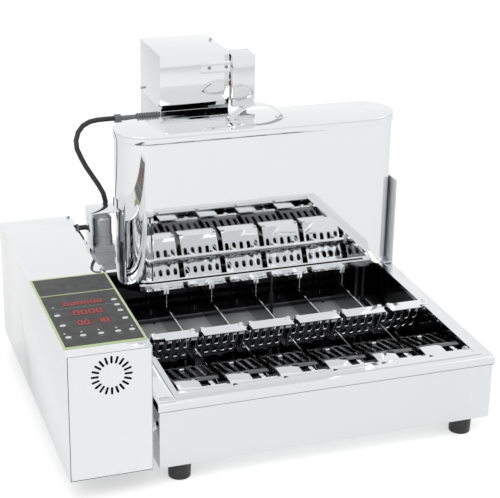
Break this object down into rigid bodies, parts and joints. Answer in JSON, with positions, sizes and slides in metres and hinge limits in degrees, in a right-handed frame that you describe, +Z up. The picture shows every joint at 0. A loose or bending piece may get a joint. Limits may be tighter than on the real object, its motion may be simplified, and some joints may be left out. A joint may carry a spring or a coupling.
{
  "type": "donut maker",
  "caption": "Countertop ring fryer: open oil tank with parallel lanes and coupled flip forks, a mirror-steel batter hopper with dosing drive behind, and a control box beside it.",
  "frame": {"origin": "centre of the bounding box at the level that the four feet stand on", "axes": "+Z up, -Y is the discharge front, +X is the right side seen from the front, away from the control box"},
  "size_m": [0.6268, 0.5954, 0.4725],
  "materials": {
    "sheet_steel": "bright polished sheet",
    "polished_steel": "mirror polished stainless steel",
    "food_steel": "satin stainless steel",
    "dark_steel": "plain machined steel",
    "black_rubber": "matte moulded rubber",
    "brass": "machined",
    "gearmotor": "cast gearbox with a light motor can",
    "white_plastic": "machined food-grade plastic",
    "grey_plastic": "matte conduit and gland",
    "lead_jacket": "black cable jacket",
    "panel_border": "pale green printed border",
    "panel_black": "dark grey overlay",
    "display": "dark window with dim red digits",
    "lamp": "clear lamp dome",
    "board": "circuit board",
    "black_plastic": "moulded plastic",
    "key": "small white key"
  },
  "bodies": {
    "machine": {"tank_casing": "sheet_steel", "oil_pan": "food_steel", "linkage_cover": "sheet_steel", "feet": "black_rubber", "front_sill": "sheet_steel", "front_dividers": "sheet_steel", "rear_dividers": "sheet_steel", "divider_rail": "sheet_steel", "heating_element": "dark_steel", "thermostat_probe": "brass", "shaft_bushes": "white_plastic", "gearmotor": "gearmotor", "motor_bracket": "sheet_steel", "hopper_shell": "polished_steel", "nozzles": "food_steel", "hopper_bracket": "sheet_steel", "drive_box": "polished_steel", "drive_column": "sheet_steel", "dosing_motor": "gearmotor", "drive_channel": "sheet_steel", "lead_fittings": "grey_plastic", "drive_lead": "lead_jacket", "screws": "dark_steel", "control_housing": "polished_steel", "control_front": "polished_steel", "control_base": "dark_steel", "panel_bezel": "panel_border", "panel_plate": "panel_black", "display_windows": "display", "status_lamps": "lamp", "control_board": "board", "fan_frame": "black_plastic", "mains_gland": "black_plastic"},
    "flip": {"flip_shaft": "food_steel", "flip_forks": "food_steel", "flip_crank": "dark_steel"},
    "discharge": {"discharge_shaft": "food_steel", "discharge_forks": "food_steel", "discharge_crank": "dark_steel"},
    "rod": {"coupling_rod": "dark_steel"},
    "motor_output": {"drive_crank": "dark_steel"},
    "dosing": {"plungers": "white_plastic", "plunger_beam": "food_steel", "lift_rack": "dark_steel"},
    "pinion": {"dosing_pinion": "brass"},
    "lid": {"hopper_lid": "polished_steel", "lid_handle": "polished_steel"},
    "fan": {"fan_rotor": "black_plastic"},
    "key_left_1": {"key_left_1": "key"},
    "key_left_2": {"key_left_2": "key"},
    "key_right_1": {"key_right_1": "key"},
    "key_right_2": {"key_right_2": "key"},
    "key_right_3": {"key_right_3": "key"},
    "key_right_4": {"key_right_4": "key"},
    "key_bottom_1": {"key_bottom_1": "key"},
    "key_bottom_2": {"key_bottom_2": "key"},
    "key_bottom_3": {"key_bottom_3": "key"},
    "key_bottom_4": {"key_bottom_4": "key"},
    "key_bottom_5": {"key_bottom_5": "key"}
  },
  "joints": [
    {"name": "flip_swing", "type": "hinge", "parent": "machine", "child": "flip", "pos_m": [0.0586, -0.08225, 0.115], "axis": [1, 0, 0], "range_deg": [0, 110]},
    {"name": "discharge_swing", "type": "hinge", "parent": "machine", "child": "discharge", "pos_m": [0.0586, -0.24725, 0.115], "axis": [1, 0, 0], "range_deg": [0, 110]},
    {"name": "drive_turn", "type": "hinge", "parent": "machine", "child": "motor_output", "pos_m": [-0.1764, 0.11175, 0.115], "axis": [1, 0, 0], "range_deg": [0, 110]},
    {"name": "rod_turn", "type": "hinge", "parent": "flip", "child": "rod", "pos_m": [-0.18175, -0.09964, 0.11034], "axis": [1, 0, 0], "range_deg": [-110, 0]},
    {"name": "dosing_lift", "type": "slide", "parent": "machine", "child": "dosing", "axis": [0, 0, 1], "range_m": [0, 0.024]},
    {"name": "pinion_turn", "type": "hinge", "parent": "machine", "child": "pinion", "pos_m": [0.0786, 0.1851, 0.417], "axis": [1, 0, 0], "range_deg": [-115, 0]},
    {"name": "lid_lift", "type": "slide", "parent": "machine", "child": "lid", "axis": [0, 0, 1], "range_m": [0, 0.12]},
    {"name": "fan_spin", "type": "hinge", "parent": "machine", "child": "fan", "pos_m": [-0.2549, -0.29225, 0.182], "axis": [0, 1, 0], "continuous": true},
    {"name": "key_left_1_press", "type": "slide", "parent": "machine", "child": "key_left_1", "axis": [0, 0, -1], "range_m": [0, 0.0006], "stiffness_N_per_m": 600, "springref_m": -0.0005},
    {"name": "key_left_2_press", "type": "slide", "parent": "machine", "child": "key_left_2", "axis": [0, 0, -1], "range_m": [0, 0.0006], "stiffness_N_per_m": 600, "springref_m": -0.0005},
    {"name": "key_right_1_press", "type": "slide", "parent": "machine", "child": "key_right_1", "axis": [0, 0, -1], "range_m": [0, 0.0006], "stiffness_N_per_m": 600, "springref_m": -0.0005},
    {"name": "key_right_2_press", "type": "slide", "parent": "machine", "child": "key_right_2", "axis": [0, 0, -1], "range_m": [0, 0.0006], "stiffness_N_per_m": 600, "springref_m": -0.0005},
    {"name": "key_right_3_press", "type": "slide", "parent": "machine", "child": "key_right_3", "axis": [0, 0, -1], "range_m": [0, 0.0006], "stiffness_N_per_m": 600, "springref_m": -0.0005},
    {"name": "key_right_4_press", "type": "slide", "parent": "machine", "child": "key_right_4", "axis": [0, 0, -1], "range_m": [0, 0.0006], "stiffness_N_per_m": 600, "springref_m": -0.0005},
    {"name": "key_bottom_1_press", "type": "slide", "parent": "machine", "child": "key_bottom_1", "axis": [0, 0, -1], "range_m": [0, 0.0006], "stiffness_N_per_m": 600, "springref_m": -0.0005},
    {"name": "key_bottom_2_press", "type": "slide", "parent": "machine", "child": "key_bottom_2", "axis": [0, 0, -1], "range_m": [0, 0.0006], "stiffness_N_per_m": 600, "springref_m": -0.0005},
    {"name": "key_bottom_3_press", "type": "slide", "parent": "machine", "child": "key_bottom_3", "axis": [0, 0, -1], "range_m": [0, 0.0006], "stiffness_N_per_m": 600, "springref_m": -0.0005},
    {"name": "key_bottom_4_press", "type": "slide", "parent": "machine", "child": "key_bottom_4", "axis": [0, 0, -1], "range_m": [0, 0.0006], "stiffness_N_per_m": 600, "springref_m": -0.0005},
    {"name": "key_bottom_5_press", "type": "slide", "parent": "machine", "child": "key_bottom_5", "axis": [0, 0, -1], "range_m": [0, 0.0006], "stiffness_N_per_m": 600, "springref_m": -0.0005}
  ],
  "couplings": [
    {"joint": "discharge_swing", "follows": "flip_swing", "ratio": 1},
    {"joint": "drive_turn", "follows": "flip_swing", "ratio": 1},
    {"joint": "rod_turn", "follows": "flip_swing", "ratio": -1},
    {"joint": "pinion_turn", "follows": "dosing_lift", "rad_per_m": -83.333}
  ]
}
